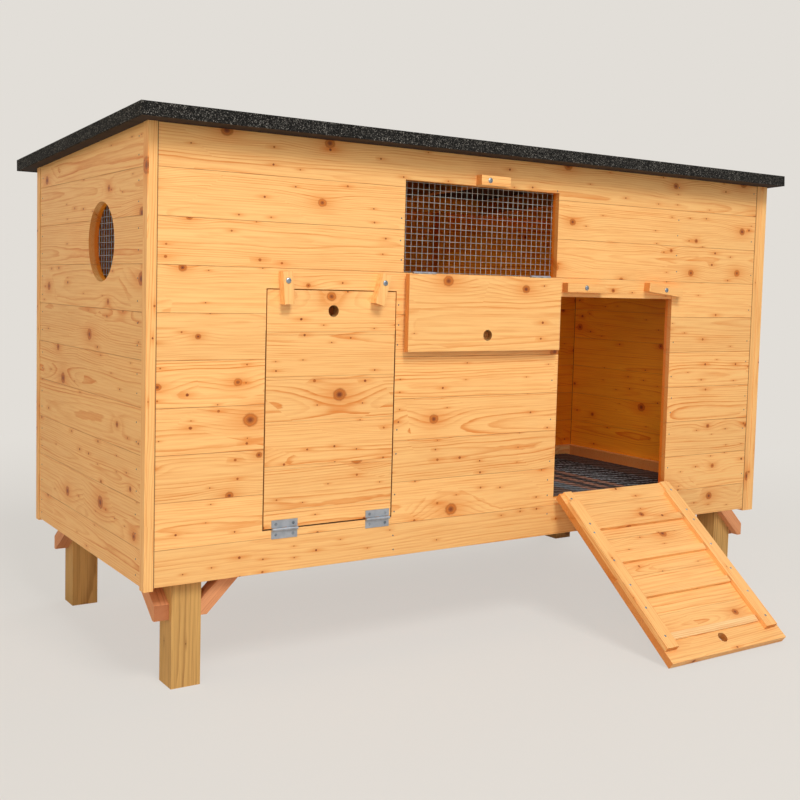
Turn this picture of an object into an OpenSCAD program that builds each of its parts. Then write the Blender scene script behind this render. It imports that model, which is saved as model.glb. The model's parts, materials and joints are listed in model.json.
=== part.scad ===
// Goose house: a boarded timber coop on four legs, with a felted roof,
// a flush hatch, a meshed window with a drop flap, and a door leaf that lets down as a ramp.

/* [Body] */
// Width over the corner posts
body_w = 1600; // [1500:10:1800]
// Depth over the corner posts
body_d = 680; // [600:10:800]
// Height of the front wall's boards
wall_h = 804; // [800:2:830]
// Thickness of the wall boards
board_t = 19; // [16:1:22]
// Height that one wall board covers
board_cover = 83; // [80:1:86]
// Height of the ripped bottom board
first_cover = 65; // [62:1:68]
// Width of the corner posts, seen from the front
post_w = 17.5; // [14:0.5:20]
// Width of the strip beside the front right post
strip_w = 17; // [14:1:20]
// How far the corner posts stand proud of the boards
corner_proud = 1.5; // [1:0.5:3]
// How far the corner posts reach below the boards
corner_drop = 5; // [2:1:10]

/* [Board joints] */
// Length of a board's tongue
tongue_l = 6; // [4:0.5:7]
// Thickness of a board's tongue
tongue_t = 5; // [4:0.5:6]
// Chamfer along a board's outer edges
v_cut = 0.5; // [0.5:0.5:2.5]
// Expansion gap between neighbouring boards
board_gap = 0.3; // [0.2:0.1:0.6]
// Extra depth and width of a board's groove
groove_play = 0.4; // [0.3:0.1:0.8]

/* [Roof] */
// Fall of the roof to the back, in degrees
roof_pitch = 2.5; // [1:0.5:4]
// Overhang past the left wall
roof_over_left = 28; // [20:1:40]
// Overhang past the right wall
roof_over_right = 8; // [6:1:40]
// Overhang past the front wall
roof_over_front = 45; // [30:1:60]
// Overhang past the back wall
roof_over_back = 62; // [40:1:80]
// Thickness of the roof boards
deck_t = 20; // [16:1:24]
// Number of roof boards
deck_boards = 7; // [5:1:9]
// Thickness of the roofing felt
felt_t = 3; // [2:0.5:4]
// How far the felt reaches below the roof boards
felt_drip = 1; // [1:0.5:4]
// Width of the plates and rafters under the roof
rafter_w = 28; // [24:1:34]
// Height of the plates and rafters under the roof
rafter_h = 40; // [34:1:46]
// Number of rafters
rafters = 3; // [2:1:5]

/* [Legs] */
// Height of the wall's lower edge above the ground
leg_h = 194; // [180:1:230]
// Side of the square legs
leg_w = 56; // [50:1:64]
// Distance from the side wall's outer face to the legs
leg_in = 60; // [55:1:80]
// Side of the square braces
brace_w = 28; // [24:1:32]
// Slope of the side braces, in degrees
brace_rise = 35; // [30:1:45]
// Height of a side brace's lower end below the floor frame
side_brace_drop = 70; // [60:1:78]
// Distance from the leg's outer edge to a side brace's lower end
side_brace_in = 12; // [6:1:20]
// Slope of the long braces, in degrees
long_brace_rise = 45; // [40:1:50]
// Height of a long brace's foot below the floor frame
long_brace_drop = 66; // [50:1:80]
// Thickness of the brace that is lapped on the front right leg
lap_brace_t = 18; // [14:1:19]
// How far the lapped brace reaches past its leg
lap_brace_past = 24; // [16:1:30]

/* [Floor] */
// Height of the floor frame's bearers
bearer_h = 28; // [24:1:32]
// Width of the long bearers and the joists
bearer_w = 28; // [24:1:34]
// Number of joists across the floor frame
joists = 2; // [2:1:4]
// Thickness of the floor boards
floor_t = 18; // [15:1:20]
// Number of floor boards
floor_boards_n = 6; // [5:1:8]
// Height of the skirting battens
skirt_h = 28; // [20:1:32]
// Thickness of the skirting battens
skirt_t = 18; // [15:1:20]
// Width of the floor mat
mat_w = 900; // [700:10:920]
// Thickness of the floor mat
mat_t = 5; // [3:0.5:7]
// Gap from the mat to the right wall's inner face
mat_in = 30; // [24:1:60]

/* [Hatch] */
// Left edge of the hatch opening
hatch_x = 227; // [215:1:230]
// Width of the hatch opening
hatch_w = 282; // [260:1:284]
// Lower edge of the hatch opening
hatch_z = 80; // [76:1:90]
// Height of the hatch opening
hatch_h = 446; // [430:1:450]
// Distance from the hatch's top edge to its finger hole
hatch_hole_in = 38; // [34:1:46]
// Width of the ledges behind the hatch
ledge_w = 40; // [30:1:50]
// Thickness of the ledges behind the hatch
ledge_t = 18; // [15:1:20]
// Distance from the hatch's sides to its ledges
ledge_in = 16; // [12:1:30]
// Distance from the hatch's lower edge to its ledges
ledge_foot = 14; // [10:1:20]
// Distance from the hatch's top edge to its ledges
ledge_head = 40; // [40:1:60]

/* [Window and flap] */
// Left edge of the window opening
window_x = 524; // [520:1:530]
// Width of the window opening
window_w = 396; // [380:1:400]
// Height of the window opening
window_h = 181; // [176:1:184]
// Height of the drop flap
flap_h = 153; // [140:1:160]
// Thickness of the drop flap
flap_t = 13; // [12:1:18]
// Distance from the flap's free edge to its finger hole
flap_hole_in = 32; // [28:1:40]
// Distance from one mesh wire to the next
mesh_cell = 20; // [20:1:26]
// Thickness of the mesh wire
wire_t = 1.2; // [1:0.1:1.6]
// How far the mesh laps behind the wall
mesh_lap = 12; // [8:1:12]
// Diameter of the round window
round_d = 150; // [130:2:156]
// Distance from the front to the round window's middle
round_y = 245; // [200:1:300]
// Height of the round window's middle
round_z = 605; // [590:1:620]

/* [Doorway and ramp] */
// Left edge of the doorway
door_x = 933; // [930:1:960]
// Width of the doorway
door_w = 346; // [320:1:350]
// Height of the doorway's sill
door_z = 79; // [76:1:90]
// Height of the clear doorway
door_h = 443; // [430:1:446]
// Height of the lath under the lintel board
lath_h = 10; // [8:1:14]
// Thickness of the lath under the lintel board
lath_t = 18; // [15:1:19]
// Thickness of the ramp's boards
ramp_t = 16; // [15:1:19]
// Height of the ramp's first board
ramp_first = 38; // [34:1:44]
// Height of the ramp's middle boards
ramp_cover = 98; // [96:1:100]
// Width of the ramp's rails
rail_w = 33; // [28:1:38]
// Height of the ramp's rails
rail_h = 11; // [9:1:16]
// Height of the rails' thin ends by the hinges
rail_thin = 4; // [3:0.5:6]
// Length of the rails' thin ends
rail_thin_l = 32; // [24:1:40]
// How far the left side of a thin end is cut back
rail_notch = 11; // [8:1:14]
// Distance from the ramp's left edge to the left rail
rail_in_left = 0; // [0:1:4]
// Distance from the ramp's right edge to the right rail
rail_in_right = 11; // [0:1:14]
// Distance from the ramp's toe to the rails
rail_short = 28; // [22:1:40]
// Width of the cleats
cleat_w = 16; // [12:1:20]
// Height of the cleats
cleat_h = 8; // [6:1:9]
// Height of the thin cleat by the toe
toe_cleat_h = 4; // [3:0.5:6]
// Distance from the hinge edge to the first cleat
cleat_first = 94; // [88:1:100]
// Distance from one cleat to the next
cleat_run = 90; // [86:1:94]
// Distance from the ramp's toe to the thin cleat
toe_cleat_in = 47; // [46:1:56]
// Gap between the cleats and the rails
cleat_gap = 3; // [1:0.5:6]
// Distance from the ramp's toe to its finger hole
ramp_hole_in = 31; // [28:1:34]

/* [Fittings] */
// Gap round the hatch, the flap and the ramp in their openings
leaf_gap = 2; // [1:0.5:2.5]
// Diameter of the finger holes
finger_d = 22; // [18:1:24]
// Length of a butt hinge
hinge_l = 54; // [45:1:60]
// Width of an open butt hinge
hinge_w = 35; // [32:1:44]
// Thickness of the hinge plates
hinge_t = 1.2; // [1:0.1:1.6]
// Outer diameter of the hinge knuckles
knuckle_d = 6; // [5:0.5:7]
// Diameter of the hinge pins
hinge_pin_d = 2.4; // [2:0.1:3]
// Number of knuckles in a hinge
knuckles = 5; // [3:2:7]
// Gap between neighbouring knuckles
knuckle_gap = 0.4; // [0.3:0.1:0.8]
// Distance from the hatch's left edge to its left hinge's middle
hatch_hinge_left = 43; // [34:1:60]
// Distance from the hatch's right edge to its right hinge's middle
hatch_hinge_right = 31; // [30:1:60]
// Distance from the flap's and the ramp's edges to their hinges' middles
leaf_hinge_in = 46; // [34:1:70]
// Diameter of the hinge screws' shanks
hinge_screw_d = 3; // [2.5:0.5:3.5]
// Diameter of the hinge screws' heads
hinge_screw_head = 6; // [5:0.5:6.5]
// Length of the hinge screws
hinge_screw_l = 11; // [9:1:11]
// Distance from a hinge's axis to its screws
hinge_screw_off = 10; // [9:0.5:12]
// Width of the turn buttons
button_w = 20; // [16:1:22]
// Thickness of the turn buttons
button_t = 18; // [14:1:20]
// Length of the hatch's turn buttons below their screws
hatch_button_down = 43; // [36:1:46]
// Length of the hatch's turn buttons above their screws
hatch_button_up = 17; // [14:1:20]
// Height of the hatch buttons' screws above the hatch opening
hatch_button_above = 15; // [13:1:18]
// Distance from the hatch opening's left edge to the left button's screw
hatch_button_left = 35; // [26:1:60]
// Distance from the hatch opening's right edge to the right button's screw
hatch_button_right = 38; // [30:1:60]
// Lean of the left hatch button, in degrees
left_button_lean = 5; // [0:1:15]
// Lean of the right hatch button, in degrees
right_button_lean = 16; // [0:1:20]
// Distance from the window's left edge to its button's screw
window_button_x = 194; // [170:1:220]
// Height of the window button's screw above the window
window_button_above = 11; // [11:1:13]
// Length of the window button to the right of its screw
window_button_long = 53; // [45:1:56]
// Length of the window button to the left of its screw
window_button_short = 22; // [16:1:26]
// Half the length of a door button
door_button_half = 55; // [48:1:58]
// Distance from the doorway's left edge to the left button's screw
door_button_left = 60; // [58:1:80]
// Distance from the doorway's right edge to the right button's screw
door_button_right = 38; // [34:1:60]
// Tilt of the right door button, in degrees
door_button_tilt = 6; // [0:1:10]
// Diameter of the turn buttons' screws
button_screw_d = 4; // [3:0.5:5]
// Diameter of the turn buttons' screw heads
button_screw_head = 9; // [8:0.5:11]
// Height of the turn buttons' screw heads
button_screw_head_h = 2.6; // [2:0.2:4]
// Depth of the turn buttons' screws in the wall
button_screw_in = 15; // [12:1:16]

/* [Hidden] */
$fn = 48;

// Running clearances
pin_play = 0.05;
screw_play = 0.05;
button_play = 0.3;
seat_gap = 0.3;
knuckle_play = 0.2;
leaf_clear = 0.4;
toe_gap = 0.3;
door_button_play = 0.5;
over = 1;
far = 400;

// Fixed counts, turns and proportions
hanging = -90;
batten = 28;
batten_set_back = 40;
back_battens = 2;
ramp_cleat_count = 3;
ramp_middle_boards = 3;
head_taper = 0.7;
fine = 96;

// Faces of the walls, seen from the outside
front_face = corner_proud;
front_inner = front_face + board_t;
back_face = body_d - corner_proud;
back_inner = back_face - board_t;
side_inner = corner_proud + board_t;
inner_w = body_w - 2 * side_inner;
inner_d = back_inner - front_inner;
function seam(row) = row == 0 ? 0 : first_cover + (row - 1) * board_cover;
rows = 1 + round((wall_h - first_cover) / board_cover);
function row_top(row) = row == rows - 1 ? wall_h : seam(row + 1);
function row_at(z) = 1 + floor((z - first_cover) / board_cover);

// Openings
// The window stands on a whole board, as high up as the plates and the mesh's lap allow
plate_fall = rafter_w * sin(roof_pitch);
window_head = rafter_h + plate_fall + mesh_lap + seat_gap;
window_z = seam(row_at(wall_h - window_head - window_h));
window_top = window_z + window_h;
hatch_top = hatch_z + hatch_h;
door_top = door_z + door_h;
lath_top = door_top + lath_h;

// Hinge axes stand in front of the boards' face by the knuckle's radius
axis_off = knuckle_d / 2 + knuckle_play;
axis_y = front_face - axis_off;

// Levels of the floor
floor_z = bearer_h;
floor_top = floor_z + floor_t;

// The ramp, closed, runs up from its hinge edge
ramp_l = door_h - 2 * leaf_gap;
ramp_w = door_w - 2 * leaf_gap;
toe_reach = ramp_l + leaf_gap;
toe_r = sqrt(pow(toe_reach, 2) + pow(axis_off, 2));
ramp_fall = asin((leg_h + door_z - toe_gap) / toe_r) + atan(axis_off / toe_reach);
ramp_open = 90 + ramp_fall;

// Overall length, which centres the part over its origin
roof_back_len = body_d / cos(roof_pitch) + roof_over_back;
y_front = axis_y - toe_reach * cos(ramp_fall) - (axis_off + ramp_t) * sin(ramp_fall);
y_back = roof_back_len * cos(roof_pitch) + (deck_t + felt_t) * sin(roof_pitch);
y_shift = -(y_front + y_back) / 2;
x_shift = -(body_w + roof_over_right - roof_over_left) / 2;

pine = "#e8b56b";
pine_light = "#efc483";
pine_dark = "#c98d47";
treated = "#b49a58";
pink = "#cf8a62";
felt = "#2c2e30";
steel = "#aeb4b8";
mat_colour = "#3b3f46";

module placed() {
    translate([x_shift, y_shift, leg_h]) children();
}

// A frame that lies in the roof's underside, with Y down the slope
module on_roof() {
    translate([0, 0, wall_h]) rotate([-roof_pitch, 0, 0]) children();
}

module above_roof() {
    on_roof() translate([-far, -far, 0]) cube([body_w + 2 * far, body_d + 2 * far, far]);
}

// One wall board, along X, outer face at Y = 0, with its tongue up
module board(l, h, t, tongue = true, groove = true) {
    mid = t / 2;
    half_tongue = tongue_t / 2;
    half_groove = half_tongue + groove_play / 2;
    groove_d = tongue_l + groove_play;
    top = tongue ? [[mid - half_tongue, h], [mid - half_tongue, h + tongue_l],
        [mid + half_tongue, h + tongue_l], [mid + half_tongue, h]] : [];
    foot = groove ? [[mid + half_groove, 0], [mid + half_groove, groove_d],
        [mid - half_groove, groove_d], [mid - half_groove, 0]] : [];
    rotate([90, 0, 90])
        linear_extrude(l)
            polygon(concat([[0, v_cut], [0, h - v_cut], [v_cut, h]], top, [[t, h], [t, 0]], foot, [[v_cut, 0]]));
}

// The listed rows of a wall's boards, along X, outer face at Y = 0
module wall_rows(l, list) {
    for (row = list)
        translate([0, 0, seam(row)])
            board(l, row_top(row) - seam(row) - board_gap, board_t, row < rows - 1, row > 0);
}

// Rows of the front wall, from the left corner post to the strip beside the right one
front_l = body_w - 2 * post_w - strip_w - board_gap;

module front_wall(list) {
    difference() {
        translate([post_w, front_face, 0]) wall_rows(front_l, list);
        front_openings();
        pilot_holes();
        above_roof();
    }
}

// A frame in which a pose of the closed leaf is turned about its hinge axis
module turned(z, angle) {
    translate([0, axis_y, z]) rotate([angle, 0, 0]) translate([0, -axis_y, -z]) children();
}

module front_openings() {
    deep = board_t + 2 * over;
    translate([hatch_x, front_face - over, hatch_z]) cube([hatch_w, deep, hatch_h]);
    translate([window_x, front_face - over, window_z]) cube([window_w, deep, window_h]);
    translate([door_x, front_face - over, door_z]) cube([door_w, deep, door_h + lath_h]);
    // The tongue that would stand up in the window's sill
    translate([window_x, front_face - over, window_z - board_gap]) cube([window_w, deep, tongue_l + over]);
}

// Where each hinge has its middle, along the wall
hatch_hinges = [hatch_x + leaf_gap + hatch_hinge_left, hatch_x + hatch_w - leaf_gap - hatch_hinge_right];
flap_hinges = [window_x + leaf_gap + leaf_hinge_in, window_x + window_w - leaf_gap - leaf_hinge_in];
ramp_hinges = [door_x + leaf_gap + leaf_hinge_in, door_x + door_w - leaf_gap - leaf_hinge_in];
screw_side = hinge_l / 3;

// The places of a hinge's screws on one side of its axis: dir is 1 above and -1 below
module at_screws(middles, z, dir) {
    for (x = middles, side = [-1, 1])
        translate([x + side * screw_side, front_face, z + dir * hinge_screw_off]) children();
}

module screw_hole() {
    rotate([-90, 0, 0]) translate([0, 0, -over]) cylinder(d = hinge_screw_d + 2 * screw_play, h = hinge_screw_l + over + seat_gap);
}

module pilot_holes() {
    at_screws(hatch_hinges, hatch_z, -1) screw_hole();
    at_screws(flap_hinges, window_z, -1) screw_hole();
    at_screws(ramp_hinges, door_z, -1) screw_hole();
    for (p = button_places)
        translate([p[0], front_face - over, p[1]])
            rotate([-90, 0, 0])
                cylinder(d = button_screw_d + 2 * screw_play, h = button_screw_in + over + seat_gap);
}

hatch_button_z = hatch_top + hatch_button_above;
door_button_z = lath_top + button_w / 2 + door_button_play;
window_button_z = window_top + window_button_above;
left_button_x = hatch_x + hatch_button_left;
right_button_x = hatch_x + hatch_w - hatch_button_right;
button_places = [[left_button_x, hatch_button_z], [right_button_x, hatch_button_z],
    [window_x + window_button_x, window_button_z], [door_x + door_button_left, door_button_z],
    [door_x + door_w - door_button_right, door_button_z]];

// The posts cover the ends of the front and back boards and butt against the side boards
module corner_posts() {
    post_h = wall_h + 2 * corner_drop;
    color(pine_light)
        placed()
            difference() {
                union() {
                    for (x = [0, body_w - post_w], y = [0, back_inner])
                        translate([x, y, -corner_drop]) cube([post_w, front_inner, post_h]);
                    translate([post_w + front_l, front_face / 2, -corner_drop])
                        cube([strip_w, front_inner - front_face / 2, post_h]);
                }
                above_roof();
            }
}

// Rows that the openings leave whole or cut straight through, and those notched by the doorway
cut_rows = [row_at(door_z), row_at(lath_top)];
plain_rows = [for (row = [0:rows - 2]) if (row != cut_rows[0] && row != cut_rows[1]) row];

module front_boards() {
    color(pine) placed() front_wall(plain_rows);
}

module front_cut_boards() {
    color(pine) placed() front_wall(cut_rows);
}

module front_head_board() {
    color(pine) placed() front_wall([rows - 1]);
}

module back_boards() {
    color(pine)
        placed()
            difference() {
                translate([body_w - post_w, back_face, 0])
                    rotate([0, 0, 180])
                        wall_rows(body_w - 2 * post_w, [0:rows - 1]);
                above_roof();
            }
}

module side_wall() {
    wall_rows(inner_d, [0:rows - 1]);
}

module left_boards() {
    color(pine)
        placed()
            difference() {
                translate([corner_proud, back_inner, 0]) rotate([0, 0, -90]) side_wall();
                translate([-over, round_y, round_z])
                    rotate([0, 90, 0])
                        cylinder(d = round_d, h = side_inner + 2 * over, $fn = fine);
                above_roof();
            }
}

module right_boards() {
    color(pine)
        placed()
            difference() {
                translate([body_w - corner_proud, front_inner, 0]) rotate([0, 0, 90]) side_wall();
                above_roof();
            }
}

plate_under = wall_h - rafter_h;
back_plate_under = wall_h - body_d * tan(roof_pitch) - rafter_h;

// Upright battens that hold the wall boards together inside
module wall_battens() {
    low_top = window_z - mesh_lap - seat_gap;
    full_top = plate_under - plate_fall - seat_gap;
    skirt_top = floor_top + skirt_h;
    color(pine_light)
        placed() {
            translate([hatch_x - batten_set_back - batten, front_inner, floor_top])
                cube([batten, batten, full_top - floor_top]);
            translate([hatch_x + hatch_w + leaf_gap, front_inner, floor_top])
                cube([batten, batten, low_top - floor_top]);
            translate([door_x - batten_set_back - batten, front_inner, floor_top])
                cube([batten, batten, low_top - floor_top]);
            translate([door_x + door_w + batten_set_back, front_inner, floor_top])
                cube([batten, batten, full_top - floor_top]);
            for (i = [1:back_battens])
                translate([body_w * i / (back_battens + 1) - batten / 2, back_inner - batten, skirt_top])
                    cube([batten, batten, back_plate_under - seat_gap - skirt_top]);
            for (x = [side_inner, body_w - side_inner - batten])
                translate([x, front_inner, skirt_top]) cube([batten, batten, full_top - skirt_top]);
        }
}

// The plates along the tops of the front and back walls
module wall_plates() {
    color(pine_light)
        placed()
            difference() {
                union() {
                    translate([side_inner, front_inner, plate_under - plate_fall])
                        cube([inner_w, rafter_w, 2 * rafter_h]);
                    translate([side_inner, back_inner - rafter_w, back_plate_under])
                        cube([inner_w, rafter_w, 2 * rafter_h]);
                }
                above_roof();
            }
}

module door_lath() {
    color(pine_light)
        placed()
            translate([door_x, front_inner - lath_t, door_top]) cube([door_w, lath_t, lath_h]);
}

// A net of square wires with nx by ny gaps
module net(w, h, nx, ny) {
    cell_x = (w - wire_t) / nx;
    cell_y = (h - wire_t) / ny;
    linear_extrude(wire_t)
        difference() {
            square([w, h]);
            for (i = [0:nx - 1], j = [0:ny - 1])
                translate([wire_t + i * cell_x, wire_t + j * cell_y])
                    square([cell_x - wire_t, cell_y - wire_t]);
        }
}

module window_mesh() {
    w = window_w + 2 * mesh_lap;
    h = window_h + 2 * mesh_lap;
    color(steel)
        placed()
            translate([window_x - mesh_lap, front_inner + wire_t, window_z - mesh_lap])
                rotate([90, 0, 0])
                    net(w, h, round(w / mesh_cell), round(h / mesh_cell));
}

module round_mesh() {
    side = round_d + 2 * mesh_lap;
    n = round(side / mesh_cell);
    color(steel)
        placed()
            translate([side_inner, round_y - side / 2, round_z - side / 2])
                rotate([90, 0, 90])
                    net(side, side, n, n);
}

module roof_rafters() {
    span = inner_d - 2 * rafter_w;
    color(pine_light)
        placed()
            intersection() {
                on_roof()
                    for (i = [1:rafters])
                        translate([body_w * i / (rafters + 1) - rafter_w / 2, 0, -rafter_h])
                            cube([rafter_w, body_d, rafter_h]);
                translate([0, front_inner + rafter_w, 0]) cube([body_w, span, wall_h + far]);
            }
}

deck_x = felt_t - roof_over_left;
deck_y = -roof_over_front + felt_t;
deck_w = body_w + roof_over_left + roof_over_right - 2 * felt_t;
deck_l = roof_back_len + roof_over_front - 2 * felt_t;

module roof_deck() {
    pitch = deck_l / deck_boards;
    color(pine_dark)
        placed()
            on_roof()
                for (i = [0:deck_boards - 1])
                    translate([deck_x, deck_y + i * pitch + board_gap / 2, 0])
                        cube([deck_w, pitch - board_gap, deck_t]);
}

// The felt lies over the boards and is folded down over their edges
module roof_felt() {
    color(felt)
        placed()
            on_roof()
                difference() {
                    translate([deck_x - felt_t, deck_y - felt_t, -felt_drip])
                        cube([deck_w + 2 * felt_t, deck_l + 2 * felt_t, felt_drip + deck_t + felt_t]);
                    translate([deck_x, deck_y, -felt_drip - over])
                        cube([deck_w, deck_l, felt_drip + over + deck_t]);
                }
}

// Side bearers fill the space from the side boards to the legs
module floor_frame() {
    side_w = leg_in - side_inner;
    color(pine_light)
        placed() {
            for (x = [side_inner, body_w - leg_in])
                translate([x, front_inner, 0]) cube([side_w, inner_d, bearer_h]);
            for (y = [front_inner, back_inner - bearer_w])
                translate([leg_in + leg_w, y, 0]) cube([body_w - 2 * (leg_in + leg_w), bearer_w, bearer_h]);
            for (i = [1:joists])
                translate([body_w * i / (joists + 1) - bearer_w / 2, front_inner + bearer_w + board_gap, 0])
                    cube([bearer_w, inner_d - 2 * bearer_w - 2 * board_gap, bearer_h]);
        }
}

module floor_boards() {
    pitch = inner_d / floor_boards_n;
    color(pine_light)
        placed()
            for (i = [0:floor_boards_n - 1])
                translate([side_inner, front_inner + i * pitch + board_gap / 2, floor_z])
                    cube([inner_w, pitch - board_gap, floor_t]);
}

module skirting() {
    side_l = inner_d - skirt_t - seat_gap;
    color(pine_light)
        placed() {
            translate([side_inner, back_inner - skirt_t, floor_top])
                cube([inner_w, skirt_t, skirt_h]);
            for (x = [side_inner, body_w - side_inner - skirt_t])
                translate([x, front_inner, floor_top]) cube([skirt_t, side_l, skirt_h]);
        }
}

// The mat reaches from the front battens to the back skirting
module floor_mat() {
    mat_y = front_inner + batten + leaf_gap;
    mat_d = back_inner - skirt_t - leaf_gap - mat_y;
    color(mat_colour)
        placed()
            translate([body_w - side_inner - mat_in - mat_w, mat_y, floor_top + seat_gap])
                cube([mat_w, mat_d, mat_t]);
}

// Legs stand inside the front and back walls and carry the floor boards
module leg(right, back) {
    x = right ? body_w - leg_in - leg_w : leg_in;
    y = back ? back_inner - leg_w : front_inner;
    color(treated)
        placed()
            translate([x, y, -leg_h]) cube([leg_w, leg_w, leg_h + bearer_h]);
}

module leg_front_left() { leg(false, false); }
module leg_front_right() { leg(true, false); }
module leg_back_left() { leg(false, true); }
module leg_back_right() { leg(true, true); }

// A brace's side view: its foot at the origin, square ended, rising along +X to the level top
function brace_outline(drop, rise, w) = let (head_from = (drop - w) / tan(rise))
    [[0, -drop], [0, -drop + w], [head_from, 0], [head_from + w / sin(rise), 0], [w * tan(rise / 2), -drop]];

// Side braces lie against the legs' outer faces, under the side bearers
module side_brace(right, back) {
    x = right ? body_w - leg_in : leg_in - brace_w;
    color(pink)
        placed()
            translate([x, back ? body_d : 0, 0])
                mirror([0, back ? 1 : 0, 0])
                    translate([0, front_inner + side_brace_in, 0])
                        rotate([90, 0, 90])
                            linear_extrude(brace_w)
                                polygon(brace_outline(side_brace_drop, brace_rise, brace_w));
}

module side_brace_front_left() { side_brace(false, false); }
module side_brace_front_right() { side_brace(true, false); }
module side_brace_back_left() { side_brace(false, true); }
module side_brace_back_right() { side_brace(true, true); }

// Long braces run from the legs' inner faces up to the long bearers
module long_brace(right, back) {
    color(pink)
        placed()
            translate([right ? body_w : 0, back ? body_d : 0, 0])
                mirror([right ? 1 : 0, 0, 0])
                    mirror([0, back ? 1 : 0, 0])
                        translate([leg_in + leg_w, front_inner + brace_w, 0])
                            rotate([90, 0, 0])
                                linear_extrude(brace_w)
                                    polygon(brace_outline(long_brace_drop, long_brace_rise, brace_w));
}

module long_brace_front_left() { long_brace(false, false); }
module long_brace_back_left() { long_brace(false, true); }
module long_brace_back_right() { long_brace(true, true); }

// The front right brace is lapped on the leg's front face and ends past its edge
module long_brace_front_right() {
    color(pink)
        placed()
            translate([body_w - leg_in + lap_brace_past, front_inner, 0])
                mirror([1, 0, 0])
                    rotate([90, 0, 0])
                        linear_extrude(lap_brace_t)
                            polygon(brace_outline(long_brace_drop, long_brace_rise, brace_w));
}

// The hatch's boards run down from its top edge, so that the finger hole lies in one board
hatch_leaf_h = hatch_h - 2 * leaf_gap;
hatch_leaf_top = hatch_top - leaf_gap;
hatch_leaf_w = hatch_w - 2 * leaf_gap;
hatch_rows = ceil(hatch_leaf_h / board_cover);

module hatch_rows_of(first, last) {
    for (i = [first:last]) {
        low = max(hatch_z + leaf_gap, hatch_leaf_top - (i + 1) * board_cover);
        h = hatch_leaf_top - i * board_cover - low;
        translate([hatch_x + leaf_gap, front_face, low])
            board(hatch_leaf_w, h - (i > 0 ? board_gap : 0), board_t, i > 0, i < hatch_rows - 1);
    }
}

module hatch_boards() {
    color(pine_light)
        placed()
            difference() {
                hatch_rows_of(1, hatch_rows - 1);
                at_screws(hatch_hinges, hatch_z, 1) screw_hole();
            }
}

module finger_hole(x, z) {
    translate([x, front_face - over, z]) rotate([-90, 0, 0]) cylinder(d = finger_d, h = board_t + 2 * over);
}

module hatch_grip_board() {
    color(pine_light)
        placed()
            difference() {
                hatch_rows_of(0, 0);
                finger_hole(hatch_x + hatch_w / 2, hatch_leaf_top - hatch_hole_in);
            }
}

module hatch_ledges() {
    color(pine_light)
        placed()
            for (x = [hatch_x + ledge_in, hatch_x + hatch_w - ledge_in - ledge_w])
                translate([x, front_inner, hatch_z + ledge_foot])
                    cube([ledge_w, ledge_t, hatch_h - ledge_foot - ledge_head]);
}

// The flap is drawn closed in the window and hangs turned half round about its hinges
flap_fold = 180;

module flap_board() {
    color(pine_light)
        placed()
            turned(window_z, flap_fold)
                difference() {
                    translate([window_x + leaf_gap, front_face, window_z + leaf_gap])
                        cube([window_w - 2 * leaf_gap, flap_t, flap_h]);
                    finger_hole(window_x + window_w / 2, window_z + leaf_gap + flap_h - flap_hole_in);
                    at_screws(flap_hinges, window_z, 1) screw_hole();
                }
}

// The ramp is drawn closed in the doorway and lies let down to the ground
module on_ramp() {
    placed() turned(door_z, ramp_open) translate([door_x + leaf_gap, front_face, door_z + leaf_gap]) children();
}

// The ramp's boards, counted from the hinge edge: a ripped one, the middle ones and the toe board
ramp_toe_row = ramp_middle_boards + 1;
function ramp_seam(i) = i == 0 ? 0 : i > ramp_toe_row ? ramp_l + board_gap : ramp_first + (i - 1) * ramp_cover;

module ramp_row(i) {
    translate([0, 0, ramp_seam(i)])
        board(ramp_w, ramp_seam(i + 1) - ramp_seam(i) - board_gap, ramp_t, i < ramp_toe_row, i > 0);
}

module ramp_boards() {
    color(pine_light)
        difference() {
            on_ramp() for (i = [0:ramp_middle_boards]) ramp_row(i);
            placed() turned(door_z, ramp_open) at_screws(ramp_hinges, door_z, 1) screw_hole();
        }
}

module ramp_grip_board() {
    color(pine_light)
        on_ramp()
            difference() {
                ramp_row(ramp_toe_row);
                translate([ramp_w / 2, -over, ramp_l - ramp_hole_in])
                    rotate([-90, 0, 0])
                        cylinder(d = finger_d, h = ramp_t + 2 * over);
            }
}

// Each rail is full height, with a thin narrow end by the hinges
module ramp_rails() {
    full_l = ramp_l - rail_short - rail_thin_l;
    color(pine)
        on_ramp()
            for (x = [rail_in_left, ramp_w - rail_in_right - rail_w])
                translate([x, ramp_t, 0]) {
                    translate([0, 0, rail_thin_l]) cube([rail_w, rail_h, full_l]);
                    translate([rail_notch, 0, 0]) cube([rail_w - rail_notch, rail_thin, rail_thin_l]);
                }
}

cleat_x = rail_in_left + rail_w + cleat_gap;
cleat_l = ramp_w - cleat_x - rail_in_right - rail_w - cleat_gap;

module ramp_cleats() {
    color(pine)
        on_ramp()
            for (i = [0:ramp_cleat_count - 1])
                translate([cleat_x, ramp_t, cleat_first + i * cleat_run]) cube([cleat_l, cleat_h, cleat_w]);
}

module ramp_toe_cleat() {
    color(pine_light)
        on_ramp()
            translate([cleat_x, ramp_t, ramp_l - toe_cleat_in - cleat_w])
                cube([cleat_l, toe_cleat_h, cleat_w]);
}

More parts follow.
